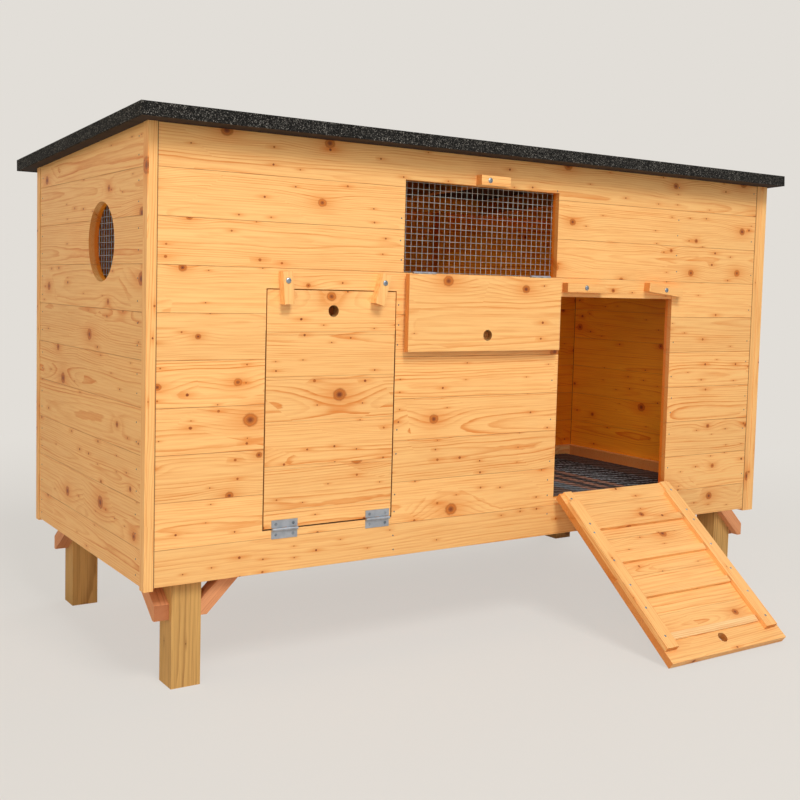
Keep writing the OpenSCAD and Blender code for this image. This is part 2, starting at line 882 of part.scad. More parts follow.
// One leaf of a butt hinge, its axis along X through the origin, its plate against Y = axis_off.
// The even knuckles belong to the leaf below the axis, and the odd ones to the leaf above it.
module hinge_leaf(dir) {
    knuckle_l = hinge_l / knuckles;
    plate_from = knuckle_d / 2 + leaf_clear;
    plate_h = hinge_w / 2 - plate_from;
    first = dir < 0 ? 0 : 1;
    difference() {
        union() {
            translate([-hinge_l / 2, axis_off - hinge_t, dir > 0 ? plate_from : -hinge_w / 2])
                cube([hinge_l, hinge_t, plate_h]);
            for (i = [first:2:knuckles - 1])
                translate([-hinge_l / 2 + i * knuckle_l + knuckle_gap / 2, 0, 0]) {
                    rotate([0, 90, 0]) cylinder(d = knuckle_d, h = knuckle_l - knuckle_gap);
                    translate([0, axis_off - hinge_t, dir > 0 ? 0 : -plate_from - hinge_t])
                        cube([knuckle_l - knuckle_gap, hinge_t, plate_from + hinge_t]);
                }
        }
        translate([-hinge_l / 2 - over, 0, 0])
            rotate([0, 90, 0])
                cylinder(d = hinge_pin_d + 2 * pin_play, h = hinge_l + 2 * over);
        for (side = [-1, 1])
            translate([side * screw_side, axis_off - hinge_t, dir * hinge_screw_off])
                rotate([-90, 0, 0]) {
                    translate([0, 0, -over]) cylinder(d = hinge_screw_d + 2 * screw_play, h = hinge_t + 2 * over);
                    cylinder(d1 = hinge_screw_head + 2 * screw_play, d2 = hinge_screw_d + 2 * screw_play, h = hinge_t);
                }
    }
}

module hinge_leaves(middles, z, dir) {
    for (x = middles) translate([x, axis_y, z]) hinge_leaf(dir);
}

module hinge_pins(middles, z) {
    for (x = middles)
        translate([x - hinge_l / 2, axis_y, z]) rotate([0, 90, 0]) cylinder(d = hinge_pin_d, h = hinge_l);
}

// A countersunk screw with its head flush with the plate
module hinge_screw() {
    translate([0, -hinge_t, 0])
        rotate([-90, 0, 0]) {
            cylinder(d1 = hinge_screw_head, d2 = hinge_screw_d, h = hinge_t);
            cylinder(d = hinge_screw_d, h = hinge_screw_l);
        }
}

module hatch_hinge_frame_leaves() { color(steel) placed() hinge_leaves(hatch_hinges, hatch_z, -1); }
module hatch_hinge_door_leaves() { color(steel) placed() hinge_leaves(hatch_hinges, hatch_z, 1); }
module hatch_hinge_pins() { color(steel) placed() hinge_pins(hatch_hinges, hatch_z); }
module flap_hinge_frame_leaves() { color(steel) placed() hinge_leaves(flap_hinges, window_z, -1); }
module flap_hinge_door_leaves() {
    color(steel) placed() turned(window_z, flap_fold) hinge_leaves(flap_hinges, window_z, 1);
}
module flap_hinge_pins() { color(steel) placed() hinge_pins(flap_hinges, window_z); }
module ramp_hinge_frame_leaves() { color(steel) placed() hinge_leaves(ramp_hinges, door_z, -1); }
module ramp_hinge_door_leaves() {
    color(steel) placed() turned(door_z, ramp_open) hinge_leaves(ramp_hinges, door_z, 1);
}
module ramp_hinge_pins() { color(steel) placed() hinge_pins(ramp_hinges, door_z); }

module frame_hinge_screws() {
    color(steel)
        placed() {
            at_screws(hatch_hinges, hatch_z, -1) hinge_screw();
            at_screws(flap_hinges, window_z, -1) hinge_screw();
            at_screws(ramp_hinges, door_z, -1) hinge_screw();
        }
}
module hatch_hinge_screws() { color(steel) placed() at_screws(hatch_hinges, hatch_z, 1) hinge_screw(); }
module flap_hinge_screws() {
    color(steel) placed() turned(window_z, flap_fold) at_screws(flap_hinges, window_z, 1) hinge_screw();
}
module ramp_hinge_screws() {
    color(steel) placed() turned(door_z, ramp_open) at_screws(ramp_hinges, door_z, 1) hinge_screw();
}

// A turn button's block round its screw: it reaches a to the left and b to the right
module button_block(place, a, b, turn) {
    color(pine_light)
        placed()
            translate([place[0], front_face - button_play, place[1]])
                rotate([90, 0, 0])
                    rotate([0, 0, turn])
                        difference() {
                            translate([-a, -button_w / 2, 0]) cube([a + b, button_w, button_t]);
                            translate([0, 0, -over]) cylinder(d = button_screw_d + 2 * pin_play, h = button_t + 2 * over);
                        }
}

module hatch_button_left_block() {
    button_block(button_places[0], hatch_button_up, hatch_button_down, hanging + left_button_lean);
}
module hatch_button_right_block() {
    button_block(button_places[1], hatch_button_up, hatch_button_down, hanging - right_button_lean);
}
module window_button_block() {
    button_block(button_places[2], window_button_short, window_button_long, 0);
}
module door_button_left_block() {
    button_block(button_places[3], door_button_half, door_button_half, 0);
}
module door_button_right_block() {
    button_block(button_places[4], door_button_half, door_button_half, -door_button_tilt);
}

module button_screws() {
    head_from = button_play + button_t + button_play;
    color(steel)
        placed()
            for (p = button_places)
                translate([p[0], front_face - head_from, p[1]])
                    rotate([-90, 0, 0]) {
                        cylinder(d = button_screw_d, h = head_from + button_screw_in);
                        translate([0, 0, -button_screw_head_h])
                            cylinder(d1 = button_screw_head * head_taper, d2 = button_screw_head, h = button_screw_head_h);
                    }
}

corner_posts();
front_boards();
front_cut_boards();
front_head_board();
back_boards();
left_boards();
right_boards();
wall_battens();
wall_plates();
door_lath();
window_mesh();
round_mesh();
roof_rafters();
roof_deck();
roof_felt();
floor_frame();
floor_boards();
skirting();
floor_mat();
leg_front_left();
leg_front_right();
leg_back_left();
leg_back_right();
side_brace_front_left();
side_brace_front_right();
side_brace_back_left();
side_brace_back_right();
long_brace_front_left();
long_brace_front_right();
long_brace_back_left();
long_brace_back_right();
hatch_boards();
hatch_grip_board();
hatch_ledges();
flap_board();
ramp_boards();
ramp_grip_board();
ramp_rails();
ramp_cleats();
ramp_toe_cleat();
hatch_hinge_frame_leaves();
hatch_hinge_door_leaves();
hatch_hinge_pins();
flap_hinge_frame_leaves();
flap_hinge_door_leaves();
flap_hinge_pins();
ramp_hinge_frame_leaves();
ramp_hinge_door_leaves();
ramp_hinge_pins();
frame_hinge_screws();
hatch_hinge_screws();
flap_hinge_screws();
ramp_hinge_screws();
button_screws();
hatch_button_left_block();
hatch_button_right_block();
window_button_block();
door_button_left_block();
door_button_right_block();
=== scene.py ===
"""A boarded goose house on braced legs.

It has oiled pine walls, a felted roof, a hatch, two meshed windows and a ramp.
"""

import json
import math

import bmesh
import bpy
from mathutils import Matrix, Vector


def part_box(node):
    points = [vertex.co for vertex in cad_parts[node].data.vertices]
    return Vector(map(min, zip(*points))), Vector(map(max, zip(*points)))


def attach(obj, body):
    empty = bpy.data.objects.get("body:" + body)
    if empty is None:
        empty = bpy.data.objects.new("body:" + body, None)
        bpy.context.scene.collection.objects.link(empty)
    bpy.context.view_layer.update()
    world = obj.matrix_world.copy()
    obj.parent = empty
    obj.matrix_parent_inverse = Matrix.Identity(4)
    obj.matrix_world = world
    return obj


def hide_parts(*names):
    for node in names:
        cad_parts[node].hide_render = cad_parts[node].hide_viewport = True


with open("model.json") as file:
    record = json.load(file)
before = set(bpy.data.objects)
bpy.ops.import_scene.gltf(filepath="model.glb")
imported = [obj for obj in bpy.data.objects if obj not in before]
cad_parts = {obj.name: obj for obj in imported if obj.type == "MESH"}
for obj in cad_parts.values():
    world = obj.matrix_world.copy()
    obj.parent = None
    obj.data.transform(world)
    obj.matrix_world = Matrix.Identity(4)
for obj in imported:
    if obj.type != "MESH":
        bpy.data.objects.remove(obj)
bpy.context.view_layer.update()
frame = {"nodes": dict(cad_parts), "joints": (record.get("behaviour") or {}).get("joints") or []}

MM = 0.001
X, Y, Z = (1, 0, 0), (0, 1, 0), (0, 0, 1)

# Sizes in millimetres: the wall boards, and how far the corner posts stand out and hang down
WALL_H = 804
BOARD_ROWS, FIRST_COVER, COVER = 10, 65, 83
POST_PROUD, POST_DROP = 1.5, 5

post_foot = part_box("corner_posts")[0]
house = Vector((post_foot.x, post_foot.y, post_foot.z + POST_DROP * MM))
front = house.y + POST_PROUD * MM


def at(x, y, z):
    """A place in millimetres: right from the left post, back from the front posts, up the walls."""
    return house + Vector((x, y, z)) * MM


def joint_place(name):
    return next(Vector(j["pos_m"]) for j in frame["joints"] if j["name"] == name)


def srgb(r, g, b):
    """A paint colour as it looks, 0 to 255, as the linear colour that a shader takes."""
    return tuple((c / 255 / 12.92 if c < 11 else ((c / 255 + 0.055) / 1.055) ** 2.4)
                 for c in (r, g, b)) + (1.0,)


class Wire:
    """A number that runs through a node tree, so that a formula reads as a formula."""

    def __init__(self, bench, socket):
        self.bench, self.socket = bench, socket

    def maths(self, kind, *others):
        return self.bench.maths(kind, self, *others)

    def __add__(self, other):
        return self.maths("ADD", other)

    def __sub__(self, other):
        return self.maths("SUBTRACT", other)

    def __rsub__(self, other):
        return self.bench.maths("SUBTRACT", other, self)

    def __mul__(self, other):
        return self.maths("MULTIPLY", other)

    def __truediv__(self, other):
        return self.maths("DIVIDE", other)

    def __pow__(self, other):
        return self.maths("POWER", other)

    __radd__ = __add__
    __rmul__ = __mul__

    def floor(self):
        return self.maths("FLOOR")

    def part(self):
        return self.maths("FRACT")

    def root(self):
        return self.maths("SQRT")

    def size(self):
        return self.maths("ABSOLUTE")


class Bench:
    """Lays nodes in one tree and wires them."""

    def __init__(self, tree):
        self.tree = tree

    def lay(self, kind, wires=(), **settings):
        node = self.tree.nodes.new(kind)
        for key, value in settings.items():
            setattr(node, key, value)
        for key, value in dict(wires).items():
            self.link(value, node.inputs[key])
        return node

    def link(self, value, taker):
        """Wires a value to a socket, or sets the socket to a plain value."""
        value = value.socket if isinstance(value, Wire) else value
        if isinstance(value, bpy.types.NodeSocket):
            self.tree.links.new(value, taker)
        else:
            taker.default_value = value

    def out(self, kind, wires=(), output=0, **settings):
        return Wire(self, self.lay(kind, wires, **settings).outputs[output])

    def maths(self, kind, *values):
        return self.out("ShaderNodeMath", enumerate(values), operation=kind)

    def join(self, x, y, z):
        return self.out("ShaderNodeCombineXYZ", enumerate((x, y, z)))

    def split(self, vector):
        node = self.lay("ShaderNodeSeparateXYZ", {0: vector})
        return [Wire(self, s) for s in node.outputs]

    def along(self, vector, direction):
        wires = {0: vector, 1: direction}
        return self.out("ShaderNodeVectorMath", wires, output="Value", operation="DOT_PRODUCT")

    def where(self, kind="Object"):
        return self.out("ShaderNodeTexCoord", output=kind)

    def noise(self, place, scale=1.0, detail=2.0, rough=0.5):
        wires = {"Vector": place, "Scale": scale, "Detail": detail, "Roughness": rough}
        return self.out("ShaderNodeTexNoise", wires, output="Fac", noise_dimensions="3D")

    def chance(self, number):
        """Three random numbers from 0 to 1, the same for the same number."""
        wires = {"W": number}
        return self.split(self.out("ShaderNodeTexWhiteNoise", wires, output="Color",
                                   noise_dimensions="1D"))

    def ease(self, value, low, high, from_value=0.0, to_value=1.0):
        wires = {"Value": value, "From Min": low, "From Max": high, "To Min": from_value,
                 "To Max": to_value}
        return self.out("ShaderNodeMapRange", wires, output="Result",
                        interpolation_type="SMOOTHSTEP")

    def blend(self, amount, first, second, kind="MIX"):
        """A mix of two colours; 6, 7 and 2 are the node's colour sockets."""
        wires = {"Factor": amount, 6: first, 7: second}
        return self.out("ShaderNodeMix", wires, output=2, data_type="RGBA", clamp_factor=True,
                        blend_type=kind)

    def shade(self, colour, amount):
        wires = {0: colour, "Scale": amount}
        return self.out("ShaderNodeVectorMath", wires, operation="SCALE")

    def mixed_shader(self, amount, first, second):
        wires = {0: amount, 1: first.outputs[0], 2: second.outputs[0]}
        return self.out("ShaderNodeMixShader", wires)


def group(name, takes, gives):
    """An empty shader node group with those sockets."""
    tree = bpy.data.node_groups.new(name, "ShaderNodeTree")
    for side, sockets in (("INPUT", takes), ("OUTPUT", gives)):
        for label, kind in sockets:
            tree.interface.new_socket(label, in_out=side, socket_type="NodeSocket" + kind)
    bench = Bench(tree)
    given = tree.nodes.new("NodeGroupInput")
    taken = tree.nodes.new("NodeGroupOutput")
    return bench, {s.name: Wire(bench, s) for s in given.outputs if s.name}, taken


# Painted shade: the deeper, darker orange given to wood indoors for the shade in the house
INDOOR_SHADE_TINT = srgb(255, 208, 76)


def sawn_wood():
    """Growth rings of a stem, cut by the board's faces, with knots that push the rings aside."""
    takes = [("Place", "Vector"), ("Board", "Float"), ("Ring", "Float"), ("Knots", "Float"),
             ("End", "Float"), ("Indoor_shade", "Float"), ("Pale", "Color"), ("Dark", "Color"),
             ("Knot", "Color")]
    bench, given, taken = group("sawn_wood", takes, [("Colour", "Color"), ("Height", "Float")])
    along, deep, wide = bench.split(given["Place"])
    board = given["Board"]
    # Each board has its own draws; these steps keep its draws, its rings and its knots apart
    next_draw, ring_draw, cell_draw, stem_length = 57.3, 13.7, 7.77, 37
    slide, pith_deep, pith_wide = bench.chance(board)
    lean, spread, tone = bench.chance(board + next_draw)
    along = along + slide * stem_length
    ragged = bench.noise(bench.join(along, deep, wide), 150, 1)

    def knots(cell_l, cell_w, share, small, spare, power, shift):
        """One chance of a knot in each cell of a loose grid.

        Gives whether it is there, the place in radii from it, its radius and how dark it is.
        """
        across = (wide + deep * 0.8) / cell_w + board * cell_draw
        cells = bench.join(along / cell_l + shift, across, 0)
        voronoi = bench.lay("ShaderNodeTexVoronoi",
                            {"Vector": cells, "Scale": 1.0, "Randomness": 0.8},
                            voronoi_dimensions="2D")
        grid_a, grid_w, _ = bench.split(cells)
        knot_a, knot_w, _ = bench.split(Wire(bench, voronoi.outputs["Position"]))
        has, girth, dark = bench.split(Wire(bench, voronoi.outputs["Color"]))
        radius = small + girth ** power * spare
        off_a, off_w = (grid_a - knot_a) * cell_l, (grid_w - knot_w) * cell_w
        there = bench.maths("LESS_THAN", has, share)
        return there, off_a / radius, off_w / radius, radius, dark

    def grain(per_along, per_deep, per_wide, drift=0, detail=2, rough=0.5, across=wide):
        """Noise with that many changes in each metre, other for each board where it drifts."""
        across = across * per_wide
        if drift:
            across = across + board * drift
        return bench.noise(bench.join(along * per_along, deep * per_deep, across), 1, detail, rough)

    def oval(off_a, off_w, share_a, share_w=1):
        """The square of the way from a knot, which counts less along the grain."""
        return off_a * off_a * share_a + off_w * off_w * share_w

    def glow(off_a, off_w, share_a, share_w, pace):
        """What fades from 1 in a knot's middle to 0 far from it."""
        return bench.maths("EXPONENT", oval(off_a, off_w, share_a, share_w) * -pace)

    # Large knots: a dark heart, rings of their own, a dark rim and an orange halo
    has, off_a, off_w, radius, dark = knots(
        cell_l=0.2, cell_w=0.083, share=given["Knots"], small=0.0035, spare=0.0075, power=1.5,
        shift=0.0)
    reach = oval(off_a, off_w, 0.7).root() * (0.82 + ragged * 0.36)
    core = bench.ease(reach, 1.35, 0.55) * has
    heart = bench.ease(reach, 0.8, 0.1) * has
    rim = bench.ease((reach - 1.0).size(), 0.3, 0.0) * has
    own_rings = bench.maths("SINE", reach * (radius * 3000)) * 0.5 + 0.5
    halo = glow(off_a, off_w, 0.16, 0.6, pace=0.35) * has
    bulge = glow(off_a, off_w, 0.1, 0.8, pace=0.11) * radius * has * 1.5

    # Small ones: red-brown pins, each with a short tail along the grain
    pin_has, pin_a, pin_w, _, pin_dark = knots(
        cell_l=0.055, cell_w=0.03, share=given["Knots"] * 0.55, small=0.0011, spare=0.0017,
        power=2.0, shift=3.3)
    pin_reach = oval(pin_a, pin_w, 0.8).root() * (0.75 + ragged * 0.5)
    pin = bench.ease(pin_reach, 1.25, 0.6) * pin_has
    tail = glow(pin_a, pin_w, 0.03, 0.5, pace=0.5) * pin_has

    # Rings: the distance from the pith in metres, bent by the stem's slow and quick turns
    pith_depth, least_depth, pith_aside = 0.05, 0.012, 0.08
    slow_bend, quick_bend, lean_bend = 0.03, 0.0045, 0.004
    slow = grain(1.3, 4, 7, drift=3.1, rough=0.45) - 0.5
    quick = grain(6, 25, 36, drift=5.3, detail=3, rough=0.6) - 0.5
    below = deep + pith_deep * pith_depth + least_depth
    beside = wide - (pith_wide - 0.5) * pith_aside
    from_pith = (below ** 2 + beside ** 2).root()
    count = from_pith + slow * slow_bend + quick * quick_bend
    count = count + (lean - 0.5) * along * lean_bend + bulge
    count = count / (given["Ring"] * (0.75 + spread * 0.6))
    turn = count.part()
    late = bench.ease(turn, 0.5, 0.9) * bench.ease(turn, 1.0, 0.94)
    soft = bench.ease(turn, 0.0, 0.8)
    vigour, _, _ = bench.chance(count.floor() + board * ring_draw)
    patch = bench.ease(grain(2.2, 3, 22, drift=2.3), 0.25, 0.7, 0.45, 1.1)
    weight = (0.2 + vigour * vigour * 0.6) * patch

    # Fine marks between them
    hair = grain(7, 200, 330, detail=3, rough=0.65, across=wide + quick * 0.004)
    hair = bench.ease(hair, 0.42, 0.68)
    fibre = grain(16, 420, 560, detail=3, rough=0.6) - 0.5
    streak = bench.ease(grain(4.5, 90, 150, drift=1), 0.58, 0.76)
    cloud = grain(3, 8, 9, drift=1) - 0.5

    # How much of the dark colour each mark lays on, and how much of the knots' colour
    late_dark, soft_dark, streak_dark, hair_dark = 0.9, 0.2, 0.26, 0.3
    halo_dark, core_dark, tail_dark = 0.6, 0.9, 0.6
    core_burn, ring_burn, rim_burn, heart_burn = 0.2, 0.3, 0.25, 0.6
    amount = late * weight * late_dark + soft * weight * soft_dark
    amount = amount + streak * streak_dark + hair * hair_dark
    colour = bench.blend(amount, given["Pale"], given["Dark"])
    amount = halo * halo_dark + core * core_dark + tail * tail_dark + pin
    colour = bench.blend(amount, colour, given["Dark"])
    burnt = core * (dark * core_burn + own_rings * ring_burn) + rim * rim_burn + heart * heart_burn
    colour = bench.blend(burnt, colour, given["Knot"])
    colour = bench.blend(pin * (0.35 + pin_dark * 0.55), colour, given["Knot"])
    light = 1 + fibre * 0.1 + cloud * 0.12 + (tone - 0.5) * 0.08
    colour = bench.shade(colour, light * bench.ease(given["End"], 0.4, 0.9, 1.0, 0.62))
    colour = bench.blend(bench.ease(given["End"], 0.4, 0.9) * 0.6, colour, given["Dark"])
    # Painted shade: the faces indoors take a deeper, darker orange, as wood looks in the house's
    # shade
    colour = bench.blend(given["Indoor_shade"], colour, INDOOR_SHADE_TINT, "MULTIPLY")
    bench.link(colour, taken.inputs["Colour"])
    bench.link(fibre * 0.5 + late * weight * 0.4 - core * 0.4, taken.inputs["Height"])
    return bench.tree


WOOD = sawn_wood()
OILED = dict(pale=srgb(254, 198, 124), dark=srgb(226, 130, 44), knot=srgb(106, 38, 8))
# The brown of the board joints, and the brown of painted shade in gaps
SEAM_BROWN, GAP_SHADE_BROWN = srgb(168, 98, 40), srgb(92, 46, 14)
FINE, COARSE = 0.003, 0.0055  # metres from one growth ring to the next
# Where brown lines fade in and where they are full: dark joints at a board's edge, painted shade at
# an outline
SEAM_FROM, SEAM_FULL = 1.2 * MM, 0.3 * MM
GAP_SHADE_FROM, GAP_SHADE_FULL, GAP_SHADE_SHARE = 2.2 * MM, 1.1 * MM, 0.85
SKIN_BLUR, HOLE_BLUR, HOLE_SHADE = 2 * MM, 0.6 * MM, 0.45


def surface(name):
    """A new material, its bench and its shader."""
    material = bpy.data.materials.new(name)
    material.use_nodes = True
    return material, Bench(material.node_tree), material.node_tree.nodes["Principled BSDF"]


def bumped(bench, shader, height, strength, distance):
    wires = {"Strength": strength, "Distance": distance, "Height": height}
    bench.link(bench.out("ShaderNodeBump", wires, output="Normal"), shader.inputs["Normal"])


def wood(name, along, wide, origin=(0, 0, 0), cover=None, boards=(), seed=0, pale=OILED["pale"],
         dark=OILED["dark"], knot=OILED["knot"], ring=0.0036, knots=0.6, rough=0.5, indoor_shade=0.0,
         skin=None, hole=None, outlines=(), seams=1.0):
    """Wood whose grain runs along one direction, in boards of one cover or in told pieces.

    Boards tells pieces apart: a direction, a pitch and a weight for each way that they repeat.
    Indoors it takes a share of painted shade, a deeper orange; with a skin, only deeper
    than that. Board edges are darker. Painted shade also darkens the hollow of a hole, given by its
    middle and its radius, and gaps along outlines, each given by two opposite corners.
    """
    material, bench, shader = surface(name)
    along, wide, origin = Vector(along).normalized(), Vector(wide).normalized(), Vector(origin)
    deep = along.cross(wide)
    place = bench.where()
    steps = [bench.along(place, tuple(d)) - d.dot(origin) for d in (along, deep, wide)]
    board = seed
    if skin:
        indoor_shade = bench.ease(steps[1].size(), skin - SKIN_BLUR, skin + SKIN_BLUR)
    if cover:
        row = (steps[2] / cover).floor()
        steps[2] = steps[2] - (row + 0.5) * cover
        board = row + seed
        worn = bench.noise(bench.join(steps[0] * 5, row * 3.7, 0), 1, 3)
        edge = bench.ease(steps[2].size(), cover / 2 - SEAM_FROM, cover / 2 - SEAM_FULL)
        edge = edge * bench.ease(worn, 0.35, 0.7, 0.1, 0.6) * seams
    for direction, pitch, weight in boards:
        board = (bench.along(place, direction) / pitch).floor() * weight + board
    end = bench.along(bench.where("Normal"), tuple(along)).size()
    wires = {"Place": bench.join(*steps), "Board": board, "Ring": ring, "Knots": knots,
             "End": end, "Indoor_shade": indoor_shade, "Pale": pale, "Dark": dark, "Knot": knot}
    grain = bench.lay("ShaderNodeGroup", node_tree=WOOD)
    for key, value in wires.items():
        bench.link(value, grain.inputs[key])
    colour = Wire(bench, grain.outputs["Colour"])
    if cover:
        colour = bench.blend(edge, colour, SEAM_BROWN)
    # Painted shade in the hollow of a finger hole
    if hole:
        middle, radius = hole
        off = [bench.along(place, tuple(d)) - d.dot(middle) for d in (along, wide)]
        reach = (off[0] ** 2 + off[1] ** 2).root()
        inside = bench.ease(reach, radius, radius + HOLE_BLUR, HOLE_SHADE, 1.0)
        colour = bench.shade(colour, inside)
    # Painted shade: a brown line in the gap along each outline
    for low, high in outlines:
        middle, half = (low + high) / 2, (high - low) / 2
        off = [(bench.along(place, tuple(d)) - d.dot(middle)).size() - d.dot(half)
               for d in (along, wide)]
        away = bench.maths("MAXIMUM", *off).size()
        line = bench.ease(away, GAP_SHADE_FROM, GAP_SHADE_FULL, 0.0, GAP_SHADE_SHARE)
        colour = bench.blend(line, colour, GAP_SHADE_BROWN)
    bench.link(colour, shader.inputs["Base Color"])
    shader.inputs["Roughness"].default_value = rough
    bumped(bench, shader, Wire(bench, grain.outputs["Height"]), 0.35, 0.0004)
    return material


def dress(material, *nodes):
    for name in nodes:
        mesh = frame["nodes"][name].data
        mesh.materials.clear()
        mesh.materials.append(material)


# Walls: level boards with painted indoor shade, a deeper orange, behind an outer skin, and lines of
# painted shade in the gaps at the posts and the hatch
cover, skin = COVER * MM, 11 * MM
seam = house.z + FIRST_COVER * MM - cover
walls = dict(cover=cover, skin=skin)
# Rectangles whose edges get lines of painted shade: around the hatch and beside the posts
hatch_edge = [corner + Vector((side * MM, 0, side * MM))
              for side, corner in zip((-1, 1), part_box("hatch_boards"))]
below, above = -99, 999  # millimetres, past the feet and the heads of the walls
front_edge = at(18, 0, below), at(1565, 0, above)
side_edge = at(0, 21, below), at(0, 659, above)
dress(wood("pine_front_wall", X, Z, (0, front, seam), seed=3, outlines=(hatch_edge, front_edge),
           **walls), "front_boards", "front_cut_boards", "front_head_board")
dress(wood("pine_back_wall", X, Z, (0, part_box("back_boards")[1].y, seam), seed=31, **walls),
      "back_boards")
dress(wood("pine_left_wall", Y, Z, (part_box("left_boards")[0].x, 0, seam), seed=61, knots=0.4,
           outlines=(side_edge,), **walls), "left_boards")
dress(wood("pine_right_wall", Y, Z, (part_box("right_boards")[1].x, 0, seam), seed=91,
           outlines=(side_edge,), **walls), "right_boards")
dress(wood("pine_corner_posts", Z, X, house, boards=((X, 0.0175, 3), (Y, 0.4, 7)), seed=120,
           knots=0.35, ring=FINE), "corner_posts")

# The hatch and the flap, with painted shade in their finger holes
finger, hatch_hole, flap_hole = 11 * MM, at(368, 0, 486), at(722, 0, 440)
hatch_top = (0, front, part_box("hatch_boards")[1].z - 12 * cover)
dress(wood("pine_hatch", X, Z, hatch_top, cover, seed=200), "hatch_boards")
dress(wood("pine_hatch_grip", X, Z, hatch_top, cover, seed=200,
           hole=(hatch_hole, finger)), "hatch_grip_board")
# The ledges face indoors and take a little painted indoor shade
dress(wood("pine_ledges", Z, X, house, boards=((X, 0.1, 1),), seed=340, knots=0.3, indoor_shade=0.2),
      "hatch_ledges")
dress(wood("pine_flap", X, Z, (0.02, front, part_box("flap_board")[0].z + 70 * MM), seed=232,
           knots=0.25, ring=COARSE, hole=(flap_hole, finger)), "flap_board")

# The ramp: level boards across its fall, with the first seam 40 mm down from the hinge
hinge = joint_place("ramp_hinge")
fall = math.radians(38.61)
down = Vector((0, -math.cos(fall), -math.sin(fall)))
ramp_first, ramp_cover, ramp_hole, ramp_finger = 40 * MM, 98 * MM, 410 * MM, 9 * MM
downhill = tuple(down)
ramp_seam = tuple(hinge + down * ramp_first - down * ramp_cover)
# The ramp's finger hole has painted shade too
dress(wood("pine_ramp", X, downhill, ramp_seam, ramp_cover, seed=240, knots=0.5, ring=0.005,
           seams=0.5, hole=(hinge + down * ramp_hole, ramp_finger)),
      "ramp_boards", "ramp_grip_board")
dress(wood("pine_ramp_rails", downhill, X, tuple(hinge), boards=((X, 0.15, 5),), seed=260,
           knots=0.2, ring=FINE), "ramp_rails")
dress(wood("pine_ramp_cleats", X, downhill, tuple(hinge), boards=((downhill, 0.07, 3),), seed=270,
           knots=0.2, ring=FINE), "ramp_cleats")
dress(wood("pine_toe_cleat", X, downhill, tuple(hinge), pale=srgb(252, 212, 150), seed=282,
           knots=0.1, ring=FINE), "ramp_toe_cleat")

# The lath and the turn buttons
dress(wood("pine_laths", X, Z, house, boards=((X, 0.4, 1), (Z, 0.2, 5)), seed=290, knots=0.2,
           ring=FINE),
      "door_lath", "window_button_block", "door_button_left_block", "door_button_right_block")
dress(wood("pine_hatch_buttons", Z, X, house, boards=((X, 0.1, 2),), seed=310, knots=0.15,
           ring=FINE), "hatch_button_left_block", "hatch_button_right_block")

# Indoors, and the frame under the floor and the roof, with painted indoor shade in a deeper orange
dress(wood("pine_battens", Z, X, house, boards=((X, 0.1, 1),), seed=330, knots=0.3, indoor_shade=1.0),
      "wall_battens")
dress(wood("pine_plates", X, Z, house, boards=((X, 0.77, 4),), seed=380, knots=0.25, indoor_shade=1.0),
      "wall_plates")
dress(wood("pine_floor", X, Y, (0, house.y, 0), boards=((Y, 0.1065, 1),), seed=350, indoor_shade=0.7),
      "floor_boards")
dress(wood("pine_skirting", X, Z, house, boards=((X, 0.77, 4),), seed=370, knots=0.25, indoor_shade=0.35,
           pale=srgb(255, 224, 164)), "skirting")
# Rough-sawn wood indoors, with most of the painted indoor shade
rough_sawn = dict(pale=srgb(206, 160, 104), dark=srgb(170, 112, 58), knot=srgb(84, 42, 16),
                  rough=0.75, indoor_shade=0.9)
# Painted shade: the roof boards are as dark as their underside looks in the shade under the eave
# and indoors
shaded_deck = dict(pale=srgb(50, 33, 18), dark=srgb(28, 17, 8), knot=srgb(14, 8, 4), rough=0.9)
dress(wood("sawn_roof_boards", X, Y, (0, house.y, 0), boards=((Y, 0.11, 1),), seed=400, **shaded_deck),
      "roof_deck")
dress(wood("sawn_rafters", Y, Z, house, boards=((X, 0.3, 1),), seed=420, **rough_sawn),
      "roof_rafters", "floor_frame")

# Legs and braces, with the grain of each brace along its slope
treated = dict(pale=srgb(210, 162, 92), dark=srgb(150, 102, 46), knot=srgb(90, 55, 22),
               ring=COARSE, knots=0.35, rough=0.7)
dress(wood("treated_legs", Z, X, house, boards=((X, 0.6, 3), (Y, 0.3, 7)), seed=440, **treated),
      "leg_front_left", "leg_front_right", "leg_back_left", "leg_back_right")
reddish = dict(pale=srgb(224, 154, 104), dark=srgb(188, 110, 64), knot=srgb(110, 55, 32),
               ring=FINE, knots=0.1, rough=0.65)
side_rise, long_rise = math.radians(35), math.radians(45)
for end, way in (("front", 1), ("back", -1)):
    grain = (0, way * math.cos(side_rise), math.sin(side_rise))
    dress(wood("brace_wood_side_" + end, grain, X, house, boards=((X, 0.5, 3),), seed=460,
               **reddish), "side_brace_" + end + "_left", "side_brace_" + end + "_right")
for end, way in (("left", 1), ("right", -1)):
    grain = (way * math.cos(long_rise), 0, math.sin(long_rise))
    dress(wood("brace_wood_long_" + end, grain, Y, house, boards=((Y, 0.3, 3),), seed=480,
               **reddish), "long_brace_front_" + end, "long_brace_back_" + end)


